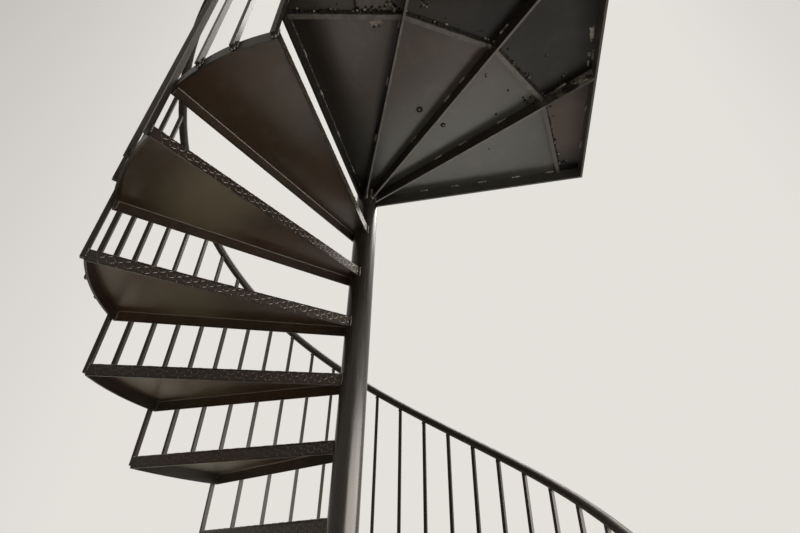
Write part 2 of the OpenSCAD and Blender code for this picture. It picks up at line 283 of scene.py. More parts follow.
# The same enamel over the raised lugs: thinner on their tops, where it is rubbed smooth
# and grey steel begins to show on the walking side.
lug_enamel, tree, shader, place = new_finish("worn_alkyd_enamel_on_raised_lugs")
wear = add(tree, "TexNoise", {"Vector": place, "Scale": 30.0, "Detail": 3.0})
facing = looking_up(tree)
trodden = add(tree, "MapRange", {"Value": facing, "From Min": 0.7, "From Max": 0.98, "To Max": 0.9})
worn = add(tree, "MapRange", {"Value": wear, "From Min": 0.42, "From Max": 0.62})
bare_steel_and_highlight = add(tree, "Math", {0: trodden, 1: worn}, operation="MULTIPLY")
blotch = add(tree, "TexNoise", {"Vector": place, "Scale": 55.0, "Detail": 2.0})
uneven = add(tree, "MapRange", {"Value": blotch, "From Min": 0.4, "From Max": 0.6})
lug_coat = add(
    tree, "Mix", {"Factor": uneven, "A": colour("#3A332B"), "B": colour("#5E5448")}, data_type="RGBA",
)
# On the flanges of the high treads, next to the column, they are painted pale as painted light.
out = from_axis(tree, place)
by_column = add(
    tree, "MapRange", {"Value": out, "From Min": 0.12, "From Max": 0.30, "To Min": 0.85, "To Max": 0.0},
)
spot = add(tree, "SeparateXYZ", {0: place})
high = add(tree, "MapRange", {"Value": spot.outputs["Z"], "From Min": 2.0, "From Max": 2.2, "To Min": 0.2})
on_flange = add(tree, "Math", {0: facing, 1: 0.5}, operation="LESS_THAN")
high_flange = add(tree, "Math", {0: high, 1: on_flange}, operation="MULTIPLY")
painted_light_share = add(tree, "Math", {0: by_column, 1: high_flange}, operation="MULTIPLY")
with_painted_light = add(tree, "Mix", {"Factor": painted_light_share, "A": lug_coat, "B": colour("#A69D92")}, data_type="RGBA")
lug_tone = add(tree, "Mix", {"Factor": bare_steel_and_highlight, "A": with_painted_light, "B": colour("#8B857C")}, data_type="RGBA")
fill(shader, {"Base Color": lug_tone, "Metallic": bare_steel_and_highlight, "Roughness": 0.34, "Specular IOR Level": 0.46})


def lug_sheet(first_x, first_y, columns, rows, heading, keep):
    """Raised lugs of chequered plate on the flat sheet at z = 0, where keep(point) is true."""
    mesh = bmesh.new()
    for lean in (0, 1):
        row = []
        for i in range(columns):
            turn = Matrix.Rotation(radians(45 if (i + lean) % 2 else -45), 4, "Z")
            place = Matrix.Translation((first_x + i * lug_pitch, first_y + lean * lug_pitch, 0))
            shape = place @ turn @ Matrix.Diagonal((*lug_size, 1, 1))
            row += bmesh.ops.create_circle(mesh, cap_ends=True, radius=1, segments=8, matrix=shape)["verts"]
        edges = {edge for vert in row for edge in vert.link_edges}
        faces = {face for vert in row for face in vert.link_faces}
        geom = row + list(edges | faces)
        for j in range(2, rows - lean, 2):
            more = bmesh.ops.duplicate(mesh, geom=geom)["geom"]
            verts = [item for item in more if isinstance(item, bmesh.types.BMVert)]
            bmesh.ops.translate(mesh, verts=verts, vec=(0, j * lug_pitch, 0))
    bmesh.ops.rotate(mesh, verts=mesh.verts[:], matrix=Matrix.Rotation(heading, 3, "Z"))
    off = [vert for face in mesh.faces if not keep(face.calc_center_median()) for vert in face.verts]
    bmesh.ops.delete(mesh, geom=off, context="VERTS")
    bmesh.ops.inset_individual(mesh, faces=mesh.faces[:], thickness=0.0007, depth=lug_height)
    return mesh


def fold_down(point, edge_point, edge_out):
    """Wraps a point of the flat sheet round a fold: edge_out points out over the edge."""
    beyond = (point - edge_point).dot(edge_out) + fold_r
    if beyond <= 0:
        return point
    bend_start = point - edge_out * beyond
    bend_start.z = 0
    arc = fold_r * pi / 2
    turn = min(beyond, arc) / fold_r
    drop = max(0, beyond - arc)
    radius = fold_r + point.z
    return bend_start + edge_out * radius * sin(turn) + Vector((0, 0, radius * cos(turn) - fold_r - drop))


# The two edges of a tread, seen from above with its back corner along +X.
back_dir = Matrix.Rotation(-asin(back_offset / tread_reach), 3, "Z") @ Vector((1, 0, 0))
back_out = Vector((-back_dir.y, back_dir.x, 0))
back_point = back_out * back_offset
nose_dir = Matrix.Rotation(asin(nose_offset / tread_reach) - tread_angle, 3, "Z") @ Vector((1, 0, 0))
nose_out = Vector((nose_dir.y, -nose_dir.x, 0))
nose_point = nose_out * nose_offset
middle = Matrix.Rotation(-tread_angle / 2, 3, "Z") @ Vector((1, 0, 0))
# How far the flat sheet runs past an edge before it is folded.
sheet_past = fold_r * (pi / 2 - 1) + lip_depth


def on_tread(point):
    """Whether a lug fits here: clear of the edges, the outer end, the corner and the column."""
    past_nose = (point - nose_point).dot(nose_out)
    past_back = (point - back_point).dot(back_out)
    last_row = sheet_past - 0.013
    off_edge = past_back > last_row or past_nose > last_row
    in_corner = past_back > -0.012 and past_nose > -0.012
    off_end = point.dot(middle) < 0.018 or point.length > tread_reach - 0.014
    on_column = max(past_back, past_nose) < 0.004 and point.length < column_r + 0.012
    return not (off_edge or in_corner or off_end or on_column)


tread_lugs = lug_sheet(
    first_x=-0.11, first_y=-0.095, columns=72, rows=43, heading=atan2(nose_dir.y, nose_dir.x), keep=on_tread,
)
for vert in tread_lugs.verts:
    vert.co = fold_down(fold_down(vert.co.copy(), nose_point, nose_out), back_point, back_out)

back_end = back_point + back_dir * sqrt(column_r ** 2 - back_offset ** 2)
nose_end = nose_out * (column_r - 0.0005) + nose_dir * 0.006
back_corner = back_point - back_out * plate + back_dir * sqrt(tread_reach ** 2 - back_offset ** 2)
nose_corner = nose_point - nose_out * plate + nose_dir * sqrt(tread_reach ** 2 - nose_offset ** 2)
back_weld = back_end + back_out * 0.002
# Under the tread, the weld follows the column's curve in lengths of 8 degrees.
weld_part = 8
down = Vector((0, 0, -1))
for k in range(1, tread_count + 1):
    top = step_rise * (tread_count + 1 - k)
    turn = Matrix.Translation((0, 0, top)) @ Matrix.Rotation(top_tread_angle - (k - 1) * step_turn, 4, "Z")
    mesh = tread_lugs.copy()
    mesh.transform(turn)
    piece(f"tread_{k:02d}_lugs", mesh, lug_enamel)
    mesh = bmesh.new()
    weld(mesh, back_weld + down * 0.004, back_weld + down * lip_depth, size=0.004)
    weld(mesh, nose_end + down * plate, nose_end + down * lip_depth, size=0.0035)
    for part in range(-88, 24, weld_part):
        turns = [radians(part + p) for p in (0, weld_part)]
        ends = [Vector((cos(a), sin(a), 0)) * (column_r + 0.001) + down * (plate + 0.001) for a in turns]
        weld(mesh, *ends, size=0.0028)
    for corner, inward in ((back_corner, -back_out - back_dir), (nose_corner, -nose_out - nose_dir)):
        spot = corner + inward * 0.001
        weld(mesh, spot + down * (plate + 0.004), spot + down * (lip_depth - 0.002), size=0.003)
    mesh.transform(turn)
    piece(f"tread_{k:02d}_welds", mesh, bead_enamel)

# The balusters are square steel bars, three to a tread. They stand outside the band, and
# each is welded to it with a bead down either side, and to the rail above.
bar_side = 0.0127
bar_r = band_r + bar_side / 2
bar_turn = step_turn / 3
bar_count = 3 * tread_count
first_bar_angle = top_tread_angle - radians(0.7)
foot_rise = 0.010
rail_r = 0.016
rail_height = 0.964
rail_slope = atan(step_rise / (bar_r * step_turn))


def bar_angle(i):
    """The angle of a bar round the column, counted down from the landing."""
    return first_bar_angle - i * bar_turn


def rail_z(i):
    """The height of the handrail's axis over that bar."""
    return landing_top - step_rise * (i / 3 + 1) + rail_height


# Alkyd enamel brushed on hot rolled square bar: satin, with long runs down the faces and
# thin places where the brush left little paint.
bar_enamel, tree, shader, place = new_finish("brushed_alkyd_enamel_on_square_bar")
runs = add(tree, "Mapping", {"Vector": place, "Scale": (1, 1, 0.08)})
run = add(tree, "TexNoise", {"Vector": runs, "Scale": 120.0, "Detail": 3.0, "Roughness": 0.6})
mill = add(tree, "TexNoise", {"Vector": place, "Scale": 28.0, "Detail": 4.0, "Roughness": 0.65})
streaked = add(tree, "MapRange", {"Value": run, "From Min": 0.4, "From Max": 0.7, "To Max": 0.5})
bar_tone = add(
    tree, "Mix", {"Factor": streaked, "A": colour("#30271E"), "B": colour("#483A2C")}, data_type="RGBA",
)
thin = add(tree, "MapRange", {"Value": mill, "From Min": 0.62, "From Max": 0.72, "To Max": 0.5})
bar_coat = add(tree, "Mix", {"Factor": thin, "A": bar_tone, "B": colour("#5E5145")}, data_type="RGBA")
pits = add(tree, "Bump", {"Height": mill, "Strength": 0.2, "Distance": 0.0004})
fill(shader, {"Base Color": bar_coat, "Roughness": 0.38, "Normal": pits, "Specular IOR Level": 0.3})
paint(
    bar_enamel, *[f"balusters_{k:02d}" for k in range(1, tread_count + 1)], "bottom_newel",
    "guard_balusters",
)

# Down either side of each bar, with a thicker lump at its top, and across under the rail.
# The top tread's bars have two lumps under their feet as well.
for k in range(1, tread_count + 1):
    mesh = bmesh.new()
    top = step_rise * (tread_count + 1 - k)
    foot = top - lip_depth + foot_rise
    for i in range(3 * k - 3, 3 * k):
        turn = Matrix.Rotation(bar_angle(i), 4, "Z")
        rail_under = rail_z(i) - rail_r / cos(rail_slope)
        beads = []
        for side in (-1, 1):
            edge = side * (bar_side / 2 + 0.001)
            side_z = rail_under - edge * sin(rail_slope)
            beads += [
                ((band_r + 0.001, edge, foot + 0.002), (band_r + 0.001, edge, top - 0.003), 0.0032),
                ((band_r + 0.0015, edge, top - 0.007), (band_r + 0.0015, edge, top - 0.001), 0.0048),
                ((bar_r - 0.005, edge, side_z), (bar_r + 0.005, edge, side_z), 0.003),
            ]
        if i < 3:
            for side in (-0.004, 0.004):
                low = foot - foot_rise + 0.003
                beads.append(((band_r + 0.003, side, foot), (band_r + 0.004, side, low), 0.0048))
        for start, end, size in beads:
            weld(mesh, turn @ Vector(start), turn @ Vector(end), size=size)
    piece(f"balusters_{k:02d}_welds", mesh, bead_enamel)

# The handrail is a steel tube, 32 mm across, rolled to a helix that follows the treads. It
# lies on the balusters and a domed plug closes each end.
# It runs 45 mm past its first and last bar, which is given here as a share of a bar's turn.
over = 0.045 * cos(rail_slope) / (bar_r * bar_turn)
rail_steps = 164
tube = bmesh.new()
start = (
    Matrix.Rotation(bar_angle(-over), 4, "Z")
    @ Matrix.Translation((bar_r, 0, rail_z(-over)))
    @ Matrix.Rotation(pi / 2 + rail_slope, 4, "X")
)
ring = bmesh.ops.create_circle(tube, cap_ends=False, radius=rail_r, segments=24, matrix=start)
bmesh.ops.spin(
    tube, geom=ring["verts"] + tube.edges[:], axis=(0, 0, 1), cent=(0, 0, 0), steps=rail_steps,
    angle=-(bar_count + 2 * over) * bar_turn, use_merge=False,
    dvec=(0, 0, -step_rise * (bar_count + 2 * over) / 3 / rail_steps),
)
bmesh.ops.holes_fill(tube, edges=[edge for edge in tube.edges if edge.is_boundary])
bmesh.ops.recalc_face_normals(tube, faces=tube.faces[:])

# Alkyd enamel on the rail, rubbed by hands: smoother and lighter along its top, with dull
# streaks between and a few nicks down to the steel.
rail_enamel, tree, shader, place = new_finish("hand_rubbed_alkyd_enamel_on_handrail")
rub_and_highlight = add(tree, "TexNoise", {"Vector": place, "Scale": 14.0, "Detail": 4.0, "Roughness": 0.6})
nick = add(tree, "TexNoise", {"Vector": place, "Scale": 110.0, "Detail": 3.0, "Roughness": 0.7})
facing = looking_up(tree)
held = add(
    tree, "MapRange", {"Value": facing, "From Min": 0.1, "From Max": 0.8, "To Min": 0.1, "To Max": 1.0},
)
patchy = add(tree, "MapRange", {"Value": rub_and_highlight, "From Min": 0.4, "From Max": 0.65})
rubbed = add(tree, "Math", {0: held, 1: patchy}, operation="MULTIPLY")
rail_tone = add(
    tree, "Mix", {"Factor": rubbed, "A": colour("#2F2822"), "B": colour("#50453A")}, data_type="RGBA",
)
chipped = add(tree, "MapRange", {"Value": nick, "From Min": 0.76, "From Max": 0.82, "To Max": 0.4})
rail_coat = add(tree, "Mix", {"Factor": chipped, "A": rail_tone, "B": colour("#85796B")}, data_type="RGBA")
sheen = add(tree, "MapRange", {"Value": rubbed, "To Min": 0.46, "To Max": 0.4})
fill(shader, {"Base Color": rail_coat, "Roughness": sheen, "Specular IOR Level": 0.2})
rail = piece("handrail_tube", tube, rail_enamel)
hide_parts("handrail")
paint(rail_enamel, "handrail_caps", "guard_rail", "guard_rail_cap")

# The guard on the landing's open side is a straight length of the same tube on square
# bars, each welded at its foot and under the rail.
reach = bar_r + 0.033
guard_y = 0.010375
guard_last = reach - 0.040
guard_bars = 7
mesh = bmesh.new()
for j in range(1, guard_bars + 1):
    x = column_r + j * (guard_last - column_r) / guard_bars
    foot, rail_under = landing_top + 0.001, landing_top + rail_height - rail_r
    for z, z_along, size in ((foot, foot, 0.0035), (rail_under, rail_under + 0.001, 0.003)):
        for side in (-1, 1):
            half = side * (bar_side / 2 + 0.001)
            weld(mesh, (x + half, guard_y - 0.005, z), (x + half, guard_y + 0.005, z), size=size)
            weld(
                mesh, (x - 0.005, guard_y + half, z_along), (x + 0.005, guard_y + half, z_along),
                size=size,
            )
piece("guard_welds", mesh, bead_enamel)

# The landing is chequered plate on flat bars set on edge. Ribs fan out from the column, a
# square bar ties them beside the seam where an apron of plate is joined on, and all of it
# is stitched together from below.
landing_under = landing_top - plate
edge_bottom = landing_top - 0.051
# It reaches out to the east and south, and by the margin past the axis to the west and
# north. Its south-west corner is cut off where x + y meets the cut line.
margin = 0.02075
cut_line = -0.7546
# The flat bars' thickness.
flat = 0.0064

# Alkyd enamel sprayed under the landing: satin, drifting from olive grey in the north to
# brown in the south, with black painted shade along the south rib and the west edge.
under_enamel, tree, shader, place = new_finish("sprayed_alkyd_enamel_under_landing")
drift = add(tree, "TexNoise", {"Vector": place, "Scale": 2.3, "Detail": 1.0})
spot = add(tree, "SeparateXYZ", {0: place})
southward = add(tree, "Math", {0: drift, 1: 0.5, 2: spot.outputs["Y"]}, operation="MULTIPLY_ADD")
warm = add(tree, "MapRange", {"Value": southward, "From Min": 0.05, "From Max": -0.25})
coat = add(tree, "Mix", {"Factor": warm, "A": colour("#494A44"), "B": colour("#4B423D")}, data_type="RGBA")
smudge = add(tree, "TexNoise", {"Vector": place, "Scale": 18.0, "Detail": 5.0, "Roughness": 0.65})
smudged = add(tree, "MapRange", {"Value": smudge, "From Min": 0.52, "From Max": 0.78, "To Max": 0.3})
handled = add(tree, "Mix", {"Factor": smudged, "A": coat, "B": colour("#68625C")}, data_type="RGBA")
# Painted shade lies black on the west side of the south rib, about 25 mm wide, and thins out
# over the 150 mm next to the west edge.
from_rib = add(tree, "VectorMath", {0: place, 1: (0.910, 0.415, 0)}, operation="DOT_PRODUCT")
shade_near = add(
    tree, "MapRange", {"Value": from_rib, "From Min": -0.042, "From Max": -0.022, "To Max": 0.9},
)
shade_side = add(tree, "Math", {0: from_rib, 1: -0.008}, operation="LESS_THAN")
rib_shade = add(tree, "Math", {0: shade_near, 1: shade_side}, operation="MULTIPLY")
west_edge_shade = add(
    tree, "MapRange",
    {"Value": spot.outputs["X"], "From Min": 0.02, "From Max": 0.15, "To Min": 0.75, "To Max": 0.0},
)
all_shade = add(tree, "Math", {0: rib_shade, 1: west_edge_shade}, operation="MAXIMUM")
facing = looking_up(tree)
below = add(tree, "Math", {0: facing, 1: 0.5}, operation="LESS_THAN")
painted_shade_share = add(tree, "Math", {0: all_shade, 1: below}, operation="MULTIPLY")
under = add(tree, "Mix", {"Factor": painted_shade_share, "A": handled, "B": colour("#0E0C0B")}, data_type="RGBA")
finish = dust_over(tree, place, facing, under)[1]
fill(
    shader,
    {"Base Color": finish, "Roughness": 0.34, "Normal": orange_peel(tree, place), "Specular IOR Level": 0.28},
)
paint(
    under_enamel, "landing_plate",
    "landing_edge_corner", "landing_edge_south", "landing_edge_east", "landing_edge_north",
)

# The apron's plate is a later piece; its enamel is painted darker than the landing's, and blacker to the
# east, as painted shade.
apron_enamel, tree, shader, place = new_finish("alkyd_enamel_on_apron_plate_with_painted_shade")
smudge = add(tree, "TexNoise", {"Vector": place, "Scale": 13.0, "Detail": 5.0, "Roughness": 0.65})
smudged = add(tree, "MapRange", {"Value": smudge, "From Min": 0.45, "From Max": 0.75, "To Max": 0.5})
spot = add(tree, "SeparateXYZ", {0: place})
eastward = add(tree, "MapRange", {"Value": spot.outputs["X"], "From Min": 0.15, "From Max": 0.5})
apron_tone = add(
    tree, "Mix", {"Factor": eastward, "A": colour("#3F3A35"), "B": colour("#12110F")}, data_type="RGBA",
)
sprayed = add(tree, "Mix", {"Factor": smudged, "A": apron_tone, "B": colour("#302C29")}, data_type="RGBA")
# It was scraped beside the first tie bar, and is browner beyond the east rib.
scrape_place = add(tree, "VectorMath", {0: place, 1: (0.222, -0.712, landing_under)}, operation="DISTANCE")
scrape = add(
    tree, "MapRange",
    {"Value": scrape_place, "From Min": 0.040, "From Max": 0.055, "To Min": 0.8, "To Max": 0.0},
)
scratch_place = add(tree, "Mapping", {"Vector": place, "Scale": (0.25, 1, 1)})
scratches = add(tree, "TexNoise", {"Vector": scratch_place, "Scale": 260.0, "Detail": 3.0})
scraped = add(tree, "Math", {0: scrape, 1: scratches}, operation="MULTIPLY")
bare_steel_and_highlight = add(tree, "Mix", {"Factor": scraped, "A": sprayed, "B": colour("#756E66")}, data_type="RGBA")
corner_place = add(tree, "VectorMath", {0: place, 1: (0.755, -0.19, landing_under)}, operation="DISTANCE")
brown = add(
    tree, "MapRange",
    {"Value": corner_place, "From Min": 0.08, "From Max": 0.16, "To Min": 0.75, "To Max": 0.0},
)
coat = add(tree, "Mix", {"Factor": brown, "A": bare_steel_and_highlight, "B": colour("#54443C")}, data_type="RGBA")
facing = looking_up(tree)
upward = add(tree, "MapRange", {"Value": facing, "From Min": 0.6, "From Max": 0.95})
dusty = add(tree, "Math", {0: upward, 1: smudge}, operation="MULTIPLY")
finish = add(tree, "Mix", {"Factor": dusty, "A": coat, "B": colour("#645B4E")}, data_type="RGBA")
fill(shader, {"Base Color": finish, "Roughness": 0.4, "Specular IOR Level": 0.2})
paint(apron_enamel, "landing_apron")

# Alkyd enamel brushed on flat bar: dark on the sides, with a painted highlight along the lower
# edge. Near the east end, past the last tie bar, the lower edge is painted near black instead,
# and the side is scrubbed thin.
rib_enamel, tree, shader, place = new_finish("brushed_alkyd_enamel_on_flat_bar")
rub_and_highlight = add(tree, "TexNoise", {"Vector": place, "Scale": 24.0, "Detail": 4.0, "Roughness": 0.65})
side_tone = add(
    tree, "Mix", {"Factor": rub_and_highlight, "A": colour("#262320"), "B": colour("#36312F")}, data_type="RGBA",
)
facing = looking_up(tree)
# Down-facing faces carry the painted highlight, in broken lengths.
downward = add(tree, "MapRange", {"Value": facing, "From Min": -0.6, "From Max": -0.9})
edge_highlight_breaks = add(
    tree, "MapRange", {"Value": rub_and_highlight, "From Min": 0.3, "From Max": 0.6, "To Min": 0.35, "To Max": 0.9},
)
east_end = add(tree, "VectorMath", {0: place, 1: (0.735, -0.347, edge_bottom)}, operation="DISTANCE")
off_east_end = add(tree, "MapRange", {"Value": east_end, "From Min": 0.070, "From Max": 0.085})
edge_kept = add(tree, "Math", {0: off_east_end, 1: edge_highlight_breaks}, operation="MULTIPLY")
edge_share = add(tree, "Math", {0: downward, 1: edge_kept}, operation="MULTIPLY")
with_edge_highlight = add(tree, "Mix", {"Factor": edge_share, "A": side_tone, "B": colour("#6E6A69")}, data_type="RGBA")
near_end_share = add(tree, "Math", {0: 1.0, 1: off_east_end}, operation="SUBTRACT")
dark_end_share = add(tree, "Math", {0: downward, 1: near_end_share}, operation="MULTIPLY")
with_dark_end = add(tree, "Mix", {"Factor": dark_end_share, "A": with_edge_highlight, "B": colour("#0F0D0C")}, data_type="RGBA")
far_end = add(tree, "VectorMath", {0: place, 1: (0.79, -0.35, edge_bottom + 0.02)}, operation="DISTANCE")
far_share = add(
    tree, "MapRange", {"Value": far_end, "From Min": 0.04, "From Max": 0.16, "To Min": 1.0, "To Max": 0.0},
)
on_side = add(tree, "Math", {0: 1.0, 1: downward}, operation="SUBTRACT")
worn_through = add(tree, "MapRange", {"Value": rub_and_highlight, "From Min": 0.42, "From Max": 0.62, "To Max": 0.8})
side_rub = add(tree, "Math", {0: on_side, 1: worn_through}, operation="MULTIPLY")
scrubbed = add(tree, "Math", {0: far_share, 1: side_rub}, operation="MULTIPLY")
rib_tone = add(tree, "Mix", {"Factor": scrubbed, "A": with_dark_end, "B": colour("#B9AEA1")}, data_type="RGBA")
fill(shader, {"Base Color": rib_tone, "Roughness": 0.42, "Specular IOR Level": 0.3})
paint(rib_enamel, "landing_rib_south", "landing_rib_middle", "landing_rib_east")

# The west edge is the same flat bar, painted near black all over as painted shade and without the lower
# edge's painted highlight.
edge_enamel, tree, shader, place = new_finish("flat_bar_enamel_with_painted_shade")
rub_and_highlight = add(tree, "TexNoise", {"Vector": place, "Scale": 24.0, "Detail": 4.0, "Roughness": 0.65})
edge_tone = add(
    tree, "Mix", {"Factor": rub_and_highlight, "A": colour("#15120F"), "B": colour("#2B2622")}, data_type="RGBA",
)
fill(shader, {"Base Color": edge_tone, "Roughness": 0.45, "Specular IOR Level": 0.2})
paint(edge_enamel, "landing_edge_west")

# The tie bars were brushed after fitting and are lighter, with the paint rubbed thin.
tie_enamel, tree, shader, place = new_finish("rubbed_alkyd_enamel_on_tie_bar")
rub_and_highlight = add(tree, "TexNoise", {"Vector": place, "Scale": 35.0, "Detail": 4.0, "Roughness": 0.65})
thin = add(tree, "MapRange", {"Value": rub_and_highlight, "From Min": 0.4, "From Max": 0.66})
tie_tone = add(
    tree, "Mix", {"Factor": thin, "A": colour("#4A4643"), "B": colour("#6A6560")}, data_type="RGBA",
)
end_place = add(tree, "VectorMath", {0: place, 1: (0.71, -0.15, landing_under)}, operation="DISTANCE")
near_end_share = add(
    tree, "MapRange",
    {"Value": end_place, "From Min": 0.13, "From Max": 0.17, "To Min": 0.8, "To Max": 0.0},
)
tie_coat = add(tree, "Mix", {"Factor": near_end_share, "A": tie_tone, "B": colour("#3A3431")}, data_type="RGBA")
fill(shader, {"Base Color": tie_coat, "Roughness": 0.42, "Specular IOR Level": 0.3})
paint(tie_enamel, "landing_cross_bars")

# The walking side has the same lugs as the treads, clear of the column and the edges.


def on_landing(point):
    """Whether a lug fits here: clear of the edges, the cut corner, the column and the guard."""
    x, y = point.xy
    rim = 0.012
    inside = rim - margin < x < reach - rim and rim - reach < y < margin - rim and x + y > cut_line + 0.018
    return inside and hypot(x, y) > column_r + 0.014 and abs(y - guard_y) > 0.016


mesh = lug_sheet(first_x=-0.0085, first_y=-0.7915, columns=61, rows=61, heading=0, keep=on_landing)
bmesh.ops.translate(mesh, verts=mesh.verts[:], vec=(0, 0, landing_top))
piece("landing_lugs", mesh, lug_enamel)

# Welds laid overhead, painted pale in patches as painted highlights where they catch the light.
highlighted_weld_bead, tree, shader, place = new_finish("weld_bead_with_painted_highlights")
lumps = add(tree, "TexNoise", {"Vector": place, "Scale": 80.0, "Detail": 3.0})
bare_steel_and_highlight = add(tree, "MapRange", {"Value": lumps, "From Min": 0.4, "From Max": 0.6})
bead_tone = add(
    tree, "Mix", {"Factor": bare_steel_and_highlight, "A": colour("#4A443F"), "B": colour("#A0988D")}, data_type="RGBA",
)
fill(shader, {"Base Color": bead_tone, "Roughness": 0.32})

# Slag is the glassy crust a weld throws off: black brown and dull where it has burnt on.
slag_crust, tree, shader, place = new_finish("burnt_welding_slag")
crust = add(tree, "TexNoise", {"Vector": place, "Scale": 130.0, "Detail": 3.0})
crust_tone = add(
    tree, "Mix", {"Factor": crust, "A": colour("#080706"), "B": colour("#241F1B")}, data_type="RGBA",
)
fill(shader, {"Base Color": crust_tone, "Roughness": 0.8, "Specular IOR Level": 0.12})

# Stitch welds run in the corner between each flat bar and the plate, 30 mm at a time.
# The line of each rib and edge is given by a point on it and its heading.
west_edge = ((-margin, 0), radians(-90))
south_rib = ((-0.011, 0), radians(-65.5))
middle_rib = ((0, 0), radians(-45))
east_rib = ((0, 0.011), radians(-26))
north_edge = ((0, margin), 0)
half_stitch = 0.015
corner_gap = 0.0015
stitch_z = landing_under - 0.002
mesh = bmesh.new()
for ((x, y), heading), stitches in (
    (south_rib, (0.30, 0.52, 0.70)),
    (middle_rib, (0.34, 0.53, 0.607, 0.786, 0.93)),
    (east_rib, (0.343, 0.446, 0.597, 0.80)),
):
    along = Vector((cos(heading), sin(heading), 0))
    across = Vector((-along.y, along.x, 0))
    origin = Vector((x, y, stitch_z))
    for middle_of in stitches:
        for side, slide in ((-1, 0), (1, 0.07)):
            spot = origin + along * (middle_of + slide) + across * side * (flat / 2 + corner_gap)
            weld(mesh, spot - along * half_stitch, spot + along * half_stitch, size=0.0036)
    root = origin + along * (column_r + 0.002)
    beside = across * 0.004
    to_foot = Vector((0, 0, edge_bottom + 0.006 - landing_under))
    for side in (-1, 1):
        weld(mesh, root + beside * side, root + beside * side + to_foot, size=0.0038)
    low = root - Vector((0, 0, 0.042))
    weld(mesh, low - beside, low + beside, size=0.004)
north_y = margin - flat - corner_gap
for x in (0.226, 0.348, 0.45, 0.579, 0.70):
    weld(mesh, (x - half_stitch, north_y, stitch_z), (x + half_stitch, north_y, stitch_z))
for x, half, places in (
    (flat - margin + corner_gap, 0.012, (-0.15, -0.32, -0.477, -0.611)),
    (reach - flat - corner_gap, half_stitch, (-0.10, -0.25, -0.43, -0.60, -0.74)),
):
    for y in places:
        weld(mesh, (x, y - half, stitch_z), (x, y + half, stitch_z))
piece("landing_stitch_welds", mesh, highlighted_weld_bead)


def lump(mesh, x, y, z, size, uneven=0.2):
    """One drop of metal or slag."""
    weld(mesh, (x, y, z), (x, y, z), size=size, uneven=uneven)


# The seam beside the tie bars was welded overhead: a rough broken bead with spatter. Its
# corners lie on these lines, set back by so much from the landing's reach.
seam = []
for ((x, y), heading), setback in (
    (west_edge, 0.078), (south_rib, 0.087), (middle_rib, 0.070), (east_rib, 0.070), (north_edge, 0.070),
):
    along = Vector((cos(heading), sin(heading)))
    foot = Vector((x, y)) - along * Vector((x, y)).dot(along)
    seam.append(foot + along * sqrt((reach - setback) ** 2 - foot.length_squared))
slag = bmesh.new()
bead = bmesh.new()
for start, end in zip(seam, seam[1:]):
    outward = Vector((end.y - start.y, start.x - end.x)).normalized()
    count = round((end - start).length / 0.0045)
    for step in range(count):
        spot = start.lerp(end, (step + 0.5) / count)
        for mesh, chance, nearest, furthest, drop, size, uneven in (
            (slag, 0.95, -0.002, 0.002, 0, 0.0062, 0.35),
            (bead, 0.12, 0.002, 0.010, 0.002, 0.0028, 0.5),
            (slag, 0.12, 0.006, 0.024, 0, 0.0024, 0.6),
        ):
            if hand.random() < chance:
                x, y = spot + outward * hand.uniform(nearest, furthest)
                lump(mesh, x, y, landing_under - drop, size, uneven)

# Crumbs of metal and enamel stand beside the first tie bar, where the plate was scraped, each with a black
# slag lump beside it as its painted shadow.
for x, y in (
    (0.087, -0.705), (0.094, -0.703), (0.100, -0.701), (0.111, -0.699), (0.120, -0.695), (0.159, -0.692),
    (0.170, -0.692), (0.179, -0.685), (0.191, -0.690), (0.200, -0.682), (0.206, -0.686), (0.210, -0.678),
    (0.228, -0.682), (0.241, -0.681), (0.250, -0.691), (0.266, -0.681), (0.270, -0.675), (0.262, -0.688),
    (0.347, -0.668), (0.353, -0.662), (0.344, -0.674),
):
    lump(bead, x, y, landing_under - 0.001, 0.0036, 0.4)
    lump(slag, x + 0.004, y - 0.005, landing_under, 0.0038, 0.3)
weld(slag, (0.171, -0.722, landing_under), (0.168, -0.694, landing_under), size=0.0030)
# The enamel has come off in bits along the last tie bar too.
for step in range(34):
    x, y = 0.672 + 0.0013 * step + hand.uniform(-0.003, 0.003), -0.262 + 0.0052 * step
    if hand.random() < 0.6:
        lump(slag, x, y, landing_under, 0.0030, 0.5)
    if hand.random() < 0.3:
        lump(bead, x + 0.006, y, landing_under - 0.001, 0.0018)

# Two drops of metal stand in a black ring of burnt enamel each, 16 and 11 mm across.
for x, y, ring in ((0.277, -0.353, 0.008), (0.343, -0.277, 0.0055)):
    crusts = 14
    for step in range(crusts):
        around = 2 * pi * step / crusts
        lump(slag, x + ring * cos(around), y + ring * sin(around), landing_under, 0.0036)
    lump(bead, x, y, landing_under - 0.002, 0.0034)
# Smaller drops of slag, most with a pale crumb at one side as a painted glint.
for x, y, size in (
    (0.518, -0.283, 0.0045), (0.559, -0.364, 0.0035), (0.487, -0.142, 0.0030), (0.719, -0.375, 0.0050),
    (0.727, -0.384, 0.0030), (0.669, -0.453, 0.0035), (0.610, -0.317, 0.0050), (0.618, -0.307, 0.0045),
    (0.604, -0.328, 0.0040), (0.626, -0.324, 0.0035), (0.635, -0.300, 0.0050), (0.628, -0.291, 0.0035),
    (0.643, -0.309, 0.0030), (0.750, -0.029, 0.0055), (0.757, -0.020, 0.0045), (0.742, -0.026, 0.0040),
    (0.203, -0.640, 0.0040), (0.217, -0.639, 0.0035), (0.495, -0.426, 0.0040), (0.339, -0.664, 0.0045),
    (0.006, -0.612, 0.0040), (0.009, -0.604, 0.0030), (0.000, -0.481, 0.0040), (0.006, -0.474, 0.0028),
):
    lump(slag, x, y, landing_under, size)
    if hand.random() < 0.6:
        lump(bead, x + 0.9 * size, y - 0.9 * size, landing_under - 0.0005, 0.5 * size)
